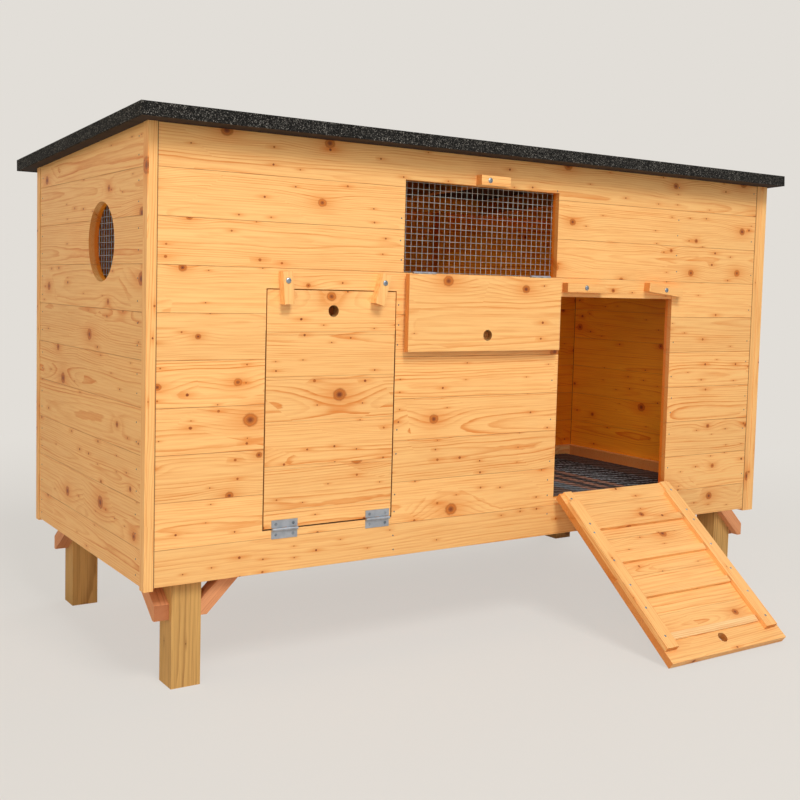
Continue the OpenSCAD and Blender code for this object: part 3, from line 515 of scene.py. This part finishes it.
def roofing_felt():
    """Black bitumen felt, covered with fine slate grit, a few grains of it pale."""
    material, bench, shader = surface("roofing_felt")
    place = bench.where()
    grit = bench.lay("ShaderNodeTexVoronoi", {"Vector": place, "Scale": 780.0},
                     voronoi_dimensions="3D")
    pick, shade, _ = bench.split(Wire(bench, grit.outputs["Color"]))
    patch = bench.noise(place, 14, 2)
    pale = bench.ease(pick + patch * 0.12, 0.84, 1.0) * (0.08 + shade * shade * 0.5)
    colour = bench.blend(bench.ease(pick, 0.2, 0.8), srgb(8, 8, 7), srgb(36, 34, 31))
    colour = bench.blend(pale, colour, srgb(190, 184, 174))
    bench.link(colour, shader.inputs["Base Color"])
    shader.inputs["Roughness"].default_value = 0.95
    shader.inputs["Specular IOR Level"].default_value = 0.2
    bumped(bench, shader, Wire(bench, grit.outputs["Distance"]), 0.5, 0.0005)
    return material


def zinc(name, pale, dark, rough, metal=0.75):
    """Zinc-plated steel with a soft, cloudy plating and fine scratches."""
    material, bench, shader = surface(name)
    place = bench.where()
    colour = bench.blend(bench.ease(bench.noise(place, 60, 2), 0.2, 0.8), pale, dark)
    bench.link(colour, shader.inputs["Base Color"])
    shader.inputs["Metallic"].default_value = metal
    gloss = bench.ease(bench.noise(place, 260, 2), 0.3, 0.7, rough - 0.07, rough + 0.1)
    bench.link(gloss, shader.inputs["Roughness"])
    bumped(bench, shader, bench.noise(place, 700, 2), 0.15, 0.0002)
    return material


dress(roofing_felt(), "roof_felt")
hinge_zinc = zinc("zinc_hinges", srgb(186, 192, 200), srgb(162, 169, 178), 0.42)
screw_zinc = zinc("zinc_screws", srgb(174, 182, 190), srgb(110, 118, 128), 0.32)
wire_zinc = zinc("zinc_wire", srgb(204, 210, 204), srgb(150, 156, 152), 0.4, 0.4)
nail_steel = zinc("nail_steel", srgb(120, 122, 132), srgb(82, 82, 90), 0.45)
for leaf in ("hatch", "flap", "ramp"):
    dress(hinge_zinc, leaf + "_hinge_frame_leaves", leaf + "_hinge_door_leaves",
          leaf + "_hinge_pins")


class Fitting(Bench):
    """A geometry tree with named sizes, whose result becomes one plain mesh."""

    def __init__(self, name, sizes):
        tree = bpy.data.node_groups.new(name, "GeometryNodeTree")
        super().__init__(tree)
        faces = tree.interface
        faces.new_socket("Geometry", in_out="INPUT", socket_type="NodeSocketGeometry")
        self.keys = {}
        for label, value in sizes.items():
            socket = faces.new_socket(label, in_out="INPUT", socket_type="NodeSocketFloat")
            socket.default_value = value
            self.keys[label] = socket.identifier
        faces.new_socket("Material", in_out="INPUT", socket_type="NodeSocketMaterial")
        self.keys["Material"] = faces.items_tree[-1].identifier
        faces.new_socket("Geometry", in_out="OUTPUT", socket_type="NodeSocketGeometry")
        given = tree.nodes.new("NodeGroupInput")
        self.given = {s.name: Wire(self, s) for s in given.outputs if s.name}
        self.taken = tree.nodes.new("NodeGroupOutput")

    def finish(self, geometry):
        real = self.out("GeometryNodeRealizeInstances", {0: geometry})
        wires = {"Geometry": real, "Material": self.given["Material"]}
        self.link(self.out("GeometryNodeSetMaterial", wires), self.taken.inputs[0])
        return self

    def make(self, name, start, material, **sizes):
        """Runs the tree on a starting mesh and returns the plain piece that it gives."""
        base = bpy.data.objects.new(name + "_start", start)
        bpy.context.scene.collection.objects.link(base)
        modifier = base.modifiers.new("fitting", "NODES")
        modifier.node_group = self.tree
        for label, value in sizes.items():
            modifier[self.keys[label]] = value
        modifier[self.keys["Material"]] = material
        seen = base.evaluated_get(bpy.context.evaluated_depsgraph_get())
        mesh = bpy.data.meshes.new_from_object(seen)
        base.modifiers.clear()
        bpy.data.objects.remove(base)
        mesh.name = name
        piece = bpy.data.objects.new(name, mesh)
        bpy.context.scene.collection.objects.link(piece)
        return piece


def spots(name, places):
    """A mesh of loose points, each with the way that it faces and a turn about it."""
    mesh = bpy.data.meshes.new(name + "_spots")
    mesh.from_pydata([tuple(p) for p, _, _ in places], [], [])
    for label, kind in (("way", "FLOAT_VECTOR"), ("turn", "FLOAT")):
        mesh.attributes.new(label, kind, "POINT")
    for i, (_, facing, angle) in enumerate(places):
        mesh.attributes["way"].data[i].vector = facing
        mesh.attributes["turn"].data[i].value = angle
    return mesh


def set_at_spots(bench, shape):
    """Puts a shape, drawn along +Z, at every point of the starting mesh."""
    way, turn = (bench.out("GeometryNodeInputNamedAttribute", {"Name": label}, data_type=kind,
                           output="Attribute")
                 for label, kind in (("way", "FLOAT_VECTOR"), ("turn", "FLOAT")))
    spin = bench.out("FunctionNodeAxisAngleToRotation", {"Axis": Z, "Angle": turn})
    facing = bench.out("FunctionNodeAlignRotationToVector", {"Vector": way, "Rotation": spin},
                       output="Rotation", axis="Z")
    points = bench.out("GeometryNodeMeshToPoints", {"Mesh": bench.given["Geometry"]})
    wires = {"Points": points, "Instance": shape, "Rotation": facing}
    return bench.out("GeometryNodeInstanceOnPoints", wires)


def moved(bench, shape, offset, scale=(1, 1, 1)):
    wires = {"Geometry": shape, "Translation": offset, "Scale": scale}
    return bench.out("GeometryNodeTransform", wires)


def joined(bench, kind, first, *others):
    """A union or a difference of closed shapes."""
    node = bench.lay("GeometryNodeMeshBoolean", operation=kind, solver="EXACT")
    if kind == "DIFFERENCE":
        bench.link(first, node.inputs["Mesh 1"])
    for shape in (others if kind == "DIFFERENCE" else (first, *others)):
        bench.link(shape, node.inputs["Mesh 2"])
    return Wire(bench, node.outputs["Mesh"])


def screw_fitting():
    """A screw with a domed head, a cross recess and a plain shank; its rim lies at the spot."""
    bench = Fitting("cross_head_screw",
                    {"Head": 0.0045, "Dome": 0.0026, "Sink": 0.0, "Shank": 0.002, "Length": 0.02})
    head, dome, sink = (bench.given[k] for k in ("Head", "Dome", "Sink"))
    shank, length = bench.given["Shank"], bench.given["Length"]
    overlap = 0.0001
    ball = bench.out("GeometryNodeMeshUVSphere", {"Segments": 24, "Rings": 12, "Radius": 1.0})
    ball = moved(bench, ball, (0, 0, 0), bench.join(head, head, dome))
    block = bench.out("GeometryNodeMeshCube", {"Size": bench.join(head * 4, head * 4, dome * 4)})
    block = moved(bench, block, bench.join(0, 0, dome * -2))
    cap = joined(bench, "DIFFERENCE", ball, block)
    cone = bench.out("GeometryNodeMeshCone", {"Vertices": 24, "Radius Top": head * 0.999,
                                              "Radius Bottom": shank, "Depth": sink + overlap})
    cone = moved(bench, cone, bench.join(0, 0, (sink * -1) + -overlap / 2))
    stem = bench.out("GeometryNodeMeshCylinder",
                     {"Vertices": 16, "Radius": shank, "Depth": length})
    stem = moved(bench, stem, bench.join(0, 0, length * -0.5 + overlap))
    body = joined(bench, "UNION", cap, cone, stem)
    long, narrow = 1.3, 0.34
    bars = []
    for x, y in ((long, narrow), (narrow, long)):
        bar = bench.out("GeometryNodeMeshCube",
                        {"Size": bench.join(head * x, head * y, dome * 2)})
        bars.append(moved(bench, bar, bench.join(0, 0, dome * 1.15)))
    body = joined(bench, "DIFFERENCE", body, *bars)
    return bench.finish(set_at_spots(bench, body))


def nail_fitting():
    """A small round nail head, driven nearly flush."""
    bench = Fitting("nail_head", {"Head": 0.0018})
    ball = bench.out("GeometryNodeMeshUVSphere",
                     {"Segments": 10, "Rings": 6, "Radius": bench.given["Head"]})
    return bench.finish(set_at_spots(bench, moved(bench, ball, (0, 0, 0), (1, 1, 0.22))))


def net_fitting():
    """Welded mesh in the XY plane: upright wires behind, level ones in front, a little wavy."""
    bench = Fitting("welded_mesh", {"Width": 0.42, "Height": 0.205, "Cell": 0.013, "Wire": 0.0006})
    width, height, cell, wire = (bench.given[k] for k in ("Width", "Height", "Cell", "Wire"))
    profile = bench.out("GeometryNodeCurvePrimitiveCircle", {"Resolution": 6, "Radius": wire},
                        output="Curve", mode="RADIUS")
    sway_flat, sway_deep, slow, quick = 0.0012, 0.0006, 9, 60
    tubes = []
    for level, across, along, share, seed in ((False, width, height, 1.03, 0.0),
                                              (True, height, width, 0.94, 4.7)):
        def laid(u, v, w):
            """U counts across the wires of this set, and v along them."""
            return bench.join(v, u, w) if level else bench.join(u, v, w)

        count = (across / (cell * share)).floor() + 1
        first, step = across * -0.5, across / (count - 1)
        lift = wire * 1.8 if level else 0
        line = bench.out("GeometryNodeCurvePrimitiveLine",
                         {"Start": laid(first, along * -0.5, lift),
                          "End": laid(first, along * 0.5, lift)})
        line = bench.out("GeometryNodeResampleCurve",
                         {"Curve": line, "Count": (along / cell * 2).floor() + 1})
        row = bench.out("GeometryNodeMeshLine", {"Count": count, "Offset": laid(step, 0, 0)})
        copies = bench.out("GeometryNodeInstanceOnPoints", {"Points": row, "Instance": line})
        copies = bench.out("GeometryNodeRealizeInstances", {0: copies})
        x, y, _ = bench.split(bench.out("GeometryNodeInputPosition"))
        if level:
            x, y = y, x
        sway = bench.out("ShaderNodeTexNoise", {"Vector": laid(x * quick, y * slow, seed),
                                                "Scale": 1.0, "Detail": 1.0}, output="Color")
        a, b, _ = bench.split(sway)
        shift = laid((a - 0.5) * sway_flat, 0, (b - 0.5) * sway_deep)
        copies = bench.out("GeometryNodeSetPosition", {"Geometry": copies, "Offset": shift})
        wires = {"Curve": copies, "Profile Curve": profile, "Fill Caps": True}
        tubes.append(bench.out("GeometryNodeCurveToMesh", wires))
    both = bench.lay("GeometryNodeJoinGeometry")
    for tube in tubes:
        bench.link(tube, both.inputs[0])
    return bench.finish(Wire(bench, both.outputs[0]))


def belongs(piece, body, slot, *nodes):
    """The piece rides on a body and stands for those nodes; the slot is not used."""
    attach(piece, body)
    if nodes:
        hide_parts(*nodes)
    return piece


screws, nails, net = screw_fitting(), nail_fitting(), net_fitting()
out = Vector((0, -1, 0))
ZINC_SLOT = "galvanised_steel"

# Screws of the turn buttons, each turned its own way
joints = ("hatch_button_left_turn", "hatch_button_right_turn", "window_button_turn",
          "door_button_left_turn", "door_button_right_turn")
head_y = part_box("window_button_block")[0].y - 0.3 * MM
places = [(Vector((joint_place(j).x, head_y, joint_place(j).z)), out, 0.4 + 0.7 * i)
          for i, j in enumerate(joints)]
piece = screws.make("button_screw_set", spots("button_screws", places), screw_zinc, Head=0.0054,
                    Dome=0.0023, Sink=0.0, Shank=0.0019, Length=0.031)
belongs(piece, "house", ZINC_SLOT, "button_screws")

# Screws of the hinges: half a hinge's length, and the holes from its middle and its axis, in mm
HALF_HINGE, HOLE_ALONG, HOLE_OFF, LEAF_T = 27, 18, 10, 1.2


def hinge_spots(leaf, side, angle):
    """The countersunk holes of a pair of hinges, above or below their axis, turned by an angle."""
    axis = joint_place(leaf + "_hinge")
    low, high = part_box(leaf + "_hinge_frame_leaves")
    turn = Matrix.Rotation(angle, 4, "X")
    found = []
    for n, middle in enumerate((low.x + HALF_HINGE * MM, high.x - HALF_HINGE * MM)):
        for m, step in enumerate((-HOLE_ALONG * MM, HOLE_ALONG * MM)):
            arm = Vector((0, front - LEAF_T * MM - axis.y, side * HOLE_OFF * MM))
            place = Vector((middle + step, axis.y, axis.z)) + turn @ arm
            found.append((place, turn @ out, 0.3 + 1.1 * n + 0.5 * m + side))
    return found


small_screw = dict(Head=0.003, Dome=0.0005, Sink=0.0012, Shank=0.0015, Length=0.0125)
places = [spot for leaf in ("hatch", "flap", "ramp") for spot in hinge_spots(leaf, -1, 0)]
piece = screws.make("frame_hinge_screw_set", spots("frame_hinge", places), screw_zinc,
                    **small_screw)
belongs(piece, "house", ZINC_SLOT, "frame_hinge_screws")
for leaf, angle in (("hatch", 0), ("flap", math.pi), ("ramp", math.pi / 2 + fall)):
    piece = screws.make(leaf + "_hinge_screw_set",
                        spots(leaf + "_hinge", hinge_spots(leaf, 1, angle)), screw_zinc,
                        **small_screw)
    belongs(piece, leaf, ZINC_SLOT, leaf + "_hinge_screws")


def jitter(i, amount):
    """A small steady unevenness, as hand-driven nails have."""
    return math.sin(i * 12.9898) * 43758.5453 % 1 * amount - amount / 2


# Nails through the wall boards into the posts and battens, in lines up each wall, in millimetres;
# up to two to a board, and on the front about half of them are driven below the face
front_lines, side_lines, back_lines = (516, 917, 1290, 1553), (46, 640), (31, 533, 1067, 1569)
faces = dict(front=1.5, left=1.5, right=1598.5, back=678.5)
window_room, door_room = (524, 922, 560, 748), (925, 1287, 0, 536)
side_top, roof_slope, back_top = 790, 0.044, 760
left, right, back = Vector((-1, 0, 0)), Vector((1, 0, 0)), Vector((0, 1, 0))
places = []
for i in range(BOARD_ROWS):
    foot = FIRST_COVER + COVER * (i - 1) if i else 0
    head = FIRST_COVER + COVER * i if i < BOARD_ROWS - 1 else WALL_H
    for share in (0.25, 0.72):
        z = foot + (head - foot) * share + jitter(i * 7 + share, 8)
        for n, x in enumerate(front_lines):
            blocked = any(x0 < x < x1 and z0 < z < z1
                          for x0, x1, z0, z1 in (window_room, door_room))
            if not blocked and jitter(i * 11 + n * 3 + share, 2) < 0.1:
                nail = at(x + jitter(i + n * 5 + share, 5), faces["front"],
                          z + jitter(i * 3 + n, 6))
                places.append((nail, out, 0))
        for n, y in enumerate(side_lines):
            if z < side_top - y * roof_slope:
                places.append((at(faces["left"], y + jitter(i + n * 3, 4), z), left, 0))
                places.append((at(faces["right"], y + jitter(i + n * 4, 4), z), right, 0))
        for n, x in enumerate(back_lines):
            if z < back_top:
                places.append((at(x + jitter(i + n, 4), faces["back"], z), back, 0))
piece = nails.make("wall_nail_set", spots("wall_nails", places), nail_steel, Head=0.0016)
belongs(piece, "house", ZINC_SLOT)

# Zinc screws along the rails of the ramp, so many millimetres down from the hinge
proud = Vector((0, -math.sin(fall), math.cos(fall)))
rail_low, rail_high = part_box("ramp_rails")
rail_top = max(proud.dot(v.co - hinge) for v in frame["nodes"]["ramp_rails"].data.vertices)
places = []
for n, x in enumerate((rail_low.x + 15 * MM, rail_high.x - 15 * MM)):
    for m, step in enumerate((34, 92, 128, 196, 262, 318, 384)):
        across = Vector((x + jitter(n * 9 + m, 5) * MM, hinge.y, hinge.z))
        step = step + jitter(n * 5 + m, 14)
        places.append((across + down * step * MM + proud * rail_top, proud, 0))
piece = nails.make("ramp_screw_set", spots("ramp_screws", places), screw_zinc, Head=0.0026)
belongs(piece, "ramp", ZINC_SLOT)

# Wire mesh behind the window and the round window, 2 mm smaller than the nets it stands for
MESH_CELL, WIRE_R, INSET, BEHIND = 0.013, 0.0005, 0.002, 0.6 * MM
upright = Matrix.Rotation(math.pi / 2, 4, "X")
sideways = Matrix.Rotation(-math.pi / 2, 4, "Z") @ upright
start = bpy.data.meshes.new("net_start")
start.from_pydata([(0, 0, 0)], [], [])
for name, node, turn, inward in (("window_wire_mesh", "window_mesh", upright, Y),
                                 ("round_wire_mesh", "round_mesh", sideways, X)):
    low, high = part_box(node)
    size = high - low
    piece = net.make(name, start, wire_zinc, Width=(size.x if inward == Y else size.y) - INSET,
                     Height=size.z - INSET, Cell=MESH_CELL, Wire=WIRE_R)
    middle = (low + high) / 2 + Vector(inward) * BEHIND
    piece.data.transform(Matrix.Translation(middle) @ turn)
    belongs(piece, "house", ZINC_SLOT, node)


def rag_mat():
    """A thin woven rag mat: low ribs across it, and a slight rise and fall."""
    low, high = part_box("floor_mat")
    size = high - low
    across, deep = 150, 98
    top_lift, under_lift, rib_h, twist_h, wave_h = 0.0034, 0.0002, 0.0006, 0.0003, 0.0004
    mesh = bpy.data.meshes.new("rag_mat")
    work = bmesh.new()
    sheets = []
    for top in (True, False):
        grid = []
        for j in range(deep + 1):
            for i in range(across + 1):
                x, y = low.x + size.x * i / across, low.y + size.y * j / deep
                rib = rib_h * (i % 2) + twist_h * math.sin(j * 1.9 + i * 0.8)
                wave = wave_h * math.sin(x * 9) * math.sin(y * 11)
                z = low.z + top_lift + rib + wave if top else low.z + under_lift
                grid.append(work.verts.new((x, y, z)))
        sheets.append(grid)
        for j in range(deep):
            for i in range(across):
                a = j * (across + 1) + i
                face = [grid[a], grid[a + 1], grid[a + across + 2], grid[a + across + 1]]
                work.faces.new(face if top else face[::-1])
    step = across + 1
    edge = [i for i in range(step)] + [j * step + across for j in range(1, deep + 1)]
    edge += [deep * step + i for i in range(across - 1, -1, -1)]
    edge += [j * step for j in range(deep - 1, 0, -1)]
    for a, b in zip(edge, edge[1:] + edge[:1]):
        work.faces.new((sheets[0][b], sheets[0][a], sheets[1][a], sheets[1][b]))
    bmesh.ops.recalc_face_normals(work, faces=work.faces)
    work.to_mesh(mesh)
    work.free()
    piece = bpy.data.objects.new("rag_mat", mesh)
    bpy.context.scene.collection.objects.link(piece)
    return piece


def rag_weave():
    """Bands of brown, charcoal and pinkish rag yarn, with pale flecks on slanted lines, and painted
    shade and painted light across the slanted ribs.
    """
    material, bench, shader = surface("rag_weave")
    x, y, z = bench.split(bench.where())
    band_repeat = 0.4
    inward = ((x * -1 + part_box("floor_mat")[1].x) / band_repeat).part()
    ramp = bench.lay("ShaderNodeValToRGB", {0: inward})
    bands = [(0.0, (104, 78, 62)), (0.22, (26, 30, 34)), (0.58, (168, 116, 88)),
             (0.64, (40, 34, 32)), (0.7, (162, 110, 82)), (0.76, (46, 36, 32)),
             (0.82, (156, 108, 84)), (0.88, (104, 112, 116))]
    ramp.color_ramp.interpolation = "CONSTANT"
    stops = ramp.color_ramp.elements
    for n, (stop, colour) in enumerate(bands):
        element = stops[0] if n == 0 else stops.new(stop)
        element.position, element.color = stop, srgb(*colour)
    stops.remove(stops[-1])
    rib_rate, rib_slant, rib_bend = 230, 0.22, 9
    swirl = bench.noise(bench.join(x * 14, y * 22, 0), 1, 2)
    slant = bench.maths("SINE", (x * rib_slant + y) * rib_rate + swirl * rib_bend)
    yarn = bench.noise(bench.join(x * 240, y * 90, z * 200), 1, 3, 0.6)
    fleck = bench.ease(slant + (yarn - 0.5) * 2.6, 0.2, 1.2)
    dark_band = bench.ease((inward - 0.4).size(), 0.19, 0.17)
    colour = bench.shade(Wire(bench, ramp.outputs["Color"]), 0.35 + yarn * 0.6)
    colour = bench.blend(fleck * (dark_band * 0.6 + 0.12), colour, srgb(160, 170, 174))
    # Painted shade in the valleys between the slanted ribs, and painted light on their crests
    colour = bench.shade(colour, bench.ease(slant, -0.9, 0.2, 0.3, 1.15))
    bench.link(colour, shader.inputs["Base Color"])
    for label, value in (("Roughness", 0.95), ("Sheen Weight", 0.05), ("Specular IOR Level", 0.2)):
        shader.inputs[label].default_value = value
    bumped(bench, shader, yarn + slant * 0.3, 0.5, 0.001)
    return material


mat = rag_mat()
mat.data.materials.append(rag_weave())
belongs(mat, "house", "mat", "floor_mat")


def studio_floor(paper):
    """A plain floor that fades into the pale surround and keeps the house's shadow near it."""
    reach_near, reach_far, half = 1.2, 3.2, 30
    mesh = bpy.data.meshes.new("studio_floor")
    corners = [(-half, -half, 0), (half, -half, 0), (half, half, 0), (-half, half, 0)]
    mesh.from_pydata(corners, [], [(0, 1, 2, 3)])
    floor = bpy.data.objects.new("studio_floor", mesh)
    bpy.context.scene.collection.objects.link(floor)
    material, bench, shader = surface("studio_paper")
    shader.inputs["Base Color"].default_value = srgb(214, 210, 204)
    shader.inputs["Roughness"].default_value = 0.9
    path = bench.lay("ShaderNodeLightPath")
    x, y, _ = bench.split(bench.where())
    reach = (x ** 2 + y ** 2).root()
    strength = bench.ease(reach, reach_near, reach_far, 1.03, 1.0)
    glow = bench.lay("ShaderNodeEmission", {"Color": paper, "Strength": strength})
    near = bench.ease(reach, reach_near, reach_far, 1.0, 0.0)
    seen = Wire(bench, path.outputs["Is Camera Ray"]) * (1 - near * 0.28)
    surface_in = material.node_tree.nodes["Material Output"].inputs["Surface"]
    bench.link(bench.mixed_shader(seen, shader, glow), surface_in)
    mesh.materials.append(material)


def studio_world(paper):
    """A pale surround for the camera and the sheen, and a weaker, slightly warm light for all."""
    world = bpy.data.worlds.new("studio")
    bpy.context.scene.world = world
    world.use_nodes = True
    bench = Bench(world.node_tree)
    path = bench.lay("ShaderNodeLightPath")
    warm = (1.0, 0.985, 0.96, 1)
    light = bench.lay("ShaderNodeBackground", {"Color": warm, "Strength": 0.24})
    seen = bench.lay("ShaderNodeBackground", {"Color": paper, "Strength": 1.0})
    rays = [Wire(bench, path.outputs[label]) for label in ("Is Camera Ray", "Is Glossy Ray")]
    camera_ray = bench.maths("MAXIMUM", *rays)
    bench.link(bench.mixed_shader(camera_ray, light, seen),
               world.node_tree.nodes["World Output"].inputs["Surface"])


def lamp(name, place, target, size, watts, colour=(1.0, 1.0, 1.0)):
    """A soft square lamp that the camera doesn't see."""
    light = bpy.data.lights.new(name, "AREA")
    light.size, light.energy, light.color = size, watts, colour
    holder = bpy.data.objects.new(name, light)
    holder.location = place
    holder.visible_camera = False
    holder.rotation_euler = (target - holder.location).to_track_quat("-Z", "Y").to_euler()
    bpy.context.scene.collection.objects.link(holder)


def studio():
    """A pale floor that keeps a faint shadow, a pale surround, and soft lamps."""
    paper = srgb(226, 222, 216)
    studio_floor(paper)
    studio_world(paper)
    middle = Vector((0, 0, 0.5))
    lamp("key", (-0.7, -3.5, 4.4), middle, size=1.8, watts=176)
    lamp("front", (-3.7, -3.8, 2.2), middle, size=2.0, watts=62)
    lamp("left", (-4.6, -0.6, 1.6), middle, size=2.4, watts=26, colour=(1.0, 0.83, 0.54))
    lamp("rim", (4.5, 2.5, 3.5), middle, size=3.0, watts=85)
    lamp("indoors", at(1000, 300, 450), at(1300, 450, 0), size=0.3, watts=0.6)


def camera():
    """The photograph's view: from the front left, at mid-height, looking slightly down."""
    picture, focal, shift_x, shift_y = 800, 1094.7, 0.47, -39.96  # pixels
    place = at(-664.9, -1792.7, 535.4)
    yaw, pitch, roll = (math.radians(a) for a in (-33.435, -3.845, 1.465))
    ahead = Vector((-math.sin(yaw) * math.cos(pitch), math.cos(yaw) * math.cos(pitch),
                    math.sin(pitch)))
    right = Vector((math.cos(yaw), math.sin(yaw), 0))
    up = right.cross(ahead)
    level = right * math.cos(roll) + up * math.sin(roll)
    upright = up * math.cos(roll) - right * math.sin(roll)
    lens = bpy.data.cameras.new("camera")
    lens.sensor_width = 36
    lens.lens = focal / picture * lens.sensor_width
    lens.shift_x, lens.shift_y = shift_x / picture, shift_y / picture
    eye = bpy.data.objects.new("camera", lens)
    turn = Matrix((level, upright, -ahead)).transposed().to_4x4()
    eye.matrix_world = Matrix.Translation(place) @ turn
    bpy.context.scene.collection.objects.link(eye)
    bpy.context.scene.camera = eye


studio()
camera()
bpy.context.scene.view_settings.view_transform = "Standard"
